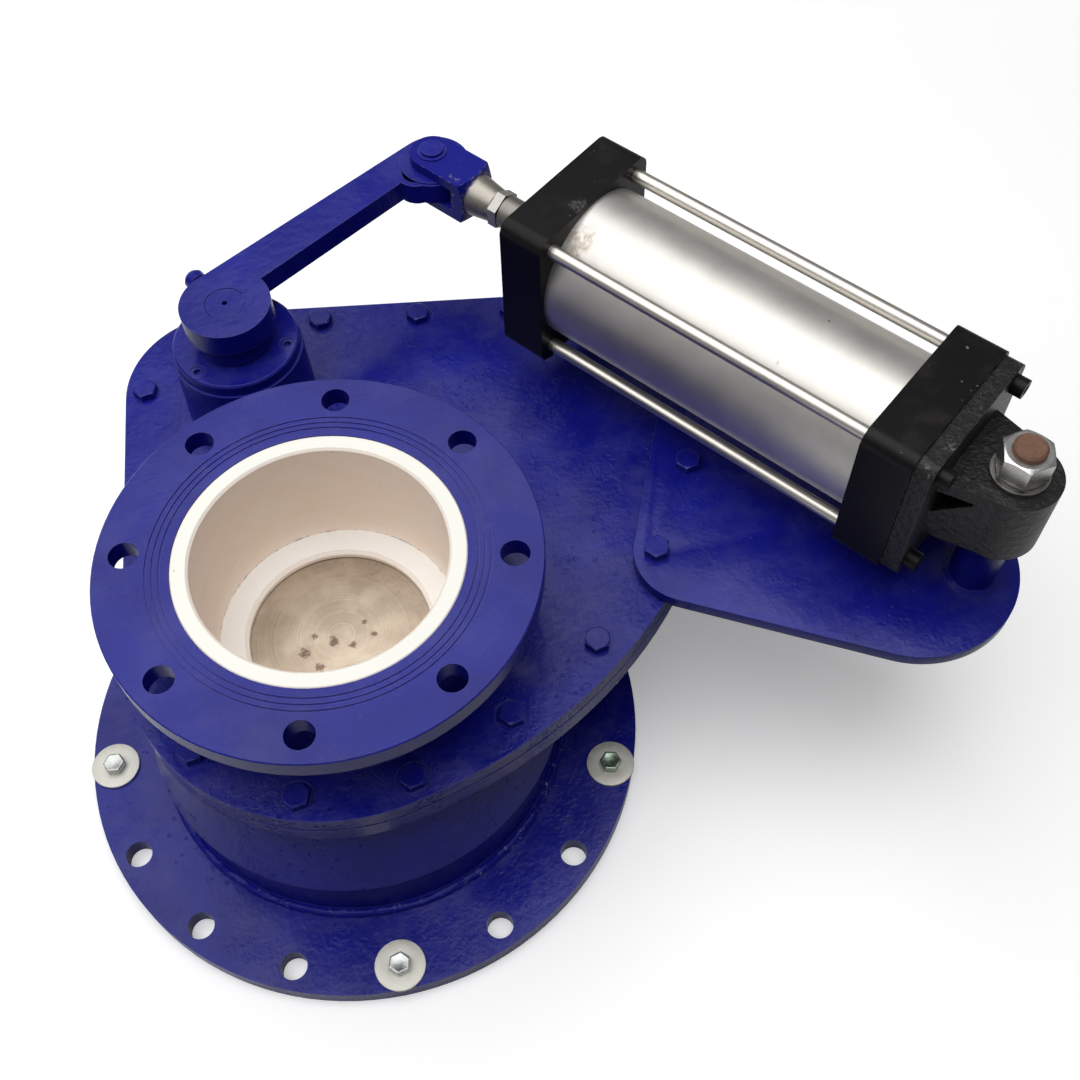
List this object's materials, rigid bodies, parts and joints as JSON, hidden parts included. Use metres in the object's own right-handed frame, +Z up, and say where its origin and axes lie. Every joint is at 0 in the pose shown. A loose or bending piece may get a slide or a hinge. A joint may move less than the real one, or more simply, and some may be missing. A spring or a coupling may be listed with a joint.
{
  "type": "rotary valve",
  "caption": "Swing disc rotary valve with ceramic lined inlet, flanged ends, top lever and a tie rod air cylinder that turns the disc aside",
  "frame": {"origin": "centre of the outlet flange's lower face, on the port axis", "axes": "+Z up the port axis towards the inlet flange, +Y from the port towards the disc shaft, +X towards the cylinder"},
  "size_m": [0.783, 0.6186, 0.398],
  "materials": {
    "blue_paint": "thick glossy ultramarine enamel, sprayed, with orange peel",
    "ceramic_white": "cream white alumina, satin",
    "disc_metal": "lapped warm grey hard metal with turning marks and dark spots",
    "bare_steel": "turned steel, lightly oiled",
    "zinc_steel": "zinc plated steel",
    "bright_steel": "hard chromed or polished steel",
    "black_cast": "rough black cast finish",
    "black_satin": "satin black cap with scuffs",
    "tube_metal": "drawn tube, mottled satin",
    "bronze": "bearing bronze",
    "black_rubber": "nitrile rubber",
    "graphite": "graphite packing and gasket sheet"
  },
  "bodies": {
    "housing": {"lower_body": "blue_paint", "body_gasket": "graphite", "upper_cover": "blue_paint", "inlet_liner": "ceramic_white", "seat_ring": "ceramic_white", "rim_bolts": "blue_paint", "rim_nuts": "zinc_steel", "upper_bush": "bronze", "lower_bush": "bronze", "packing_rings": "graphite", "gland_cover": "blue_paint", "gland_screws": "blue_paint", "shaft_end_cap": "blue_paint", "end_cap_screws": "zinc_steel", "bracket_plate": "blue_paint", "pivot_post": "blue_paint", "pivot_stud": "bare_steel", "pivot_washers": "zinc_steel", "pivot_nut": "bright_steel"},
    "lever": {"shaft": "bare_steel", "shaft_collar": "blue_paint", "lever_key": "bare_steel", "lever_arm": "blue_paint", "lever_set_screw": "blue_paint", "rocker_arm": "bare_steel", "rocker_key": "bare_steel", "arm_circlip": "bare_steel", "disc_spring": "bare_steel"},
    "spindle": {"disc_spindle": "bare_steel", "spindle_nut": "bare_steel"},
    "disc": {"disc_bush": "bronze", "disc": "disc_metal"},
    "cylinder": {"rear_bracket": "black_cast", "pivot_bush": "bronze", "bracket_screws": "zinc_steel", "rear_cap": "black_satin", "cylinder_tube": "tube_metal", "tube_seals": "black_rubber", "front_cap": "black_satin", "rod_bush": "bronze", "rod_wiper": "black_rubber", "tie_rods": "zinc_steel"},
    "rod": {"piston_rod": "bright_steel", "piston": "tube_metal", "piston_seals": "black_rubber", "piston_nut": "zinc_steel", "fork": "blue_paint", "fork_lock_nut": "zinc_steel", "fork_pin": "blue_paint", "pin_circlips": "blue_paint", "thrust_washers": "blue_paint"}
  },
  "joints": [
    {"name": "lever_swing", "type": "hinge", "parent": "housing", "child": "lever", "pos_m": [0, 0.245, 0.328], "axis": [0, 0, 1], "range_deg": [0, 53.39]},
    {"name": "disc_float", "type": "slide", "parent": "lever", "child": "spindle", "axis": [0, 0, 1], "range_m": [-0.0018, 0], "stiffness_N_per_m": 30000, "springref_m": 0.006, "deforming": ["disc_spring"]},
    {"name": "disc_spin", "type": "hinge", "parent": "spindle", "child": "disc", "pos_m": [0, 0, 0.17], "axis": [0, 0, 1], "continuous": true},
    {"name": "cylinder_swing", "type": "hinge", "parent": "housing", "child": "cylinder", "pos_m": [0.487, -0.167, 0.328], "axis": [0, 0, 1], "range_deg": [0, 5.76]},
    {"name": "rod_slide", "type": "slide", "parent": "cylinder", "child": "rod", "axis": [-0.474, 0.8805, 0], "range_m": [0, 0.2005]}
  ],
  "couplings": [
    {"joint": "cylinder_swing", "follows": "lever_swing", "ratio": 0.10703},
    {"joint": "rod_slide", "follows": "lever_swing", "m_per_rad": 0.21464}
  ]
}
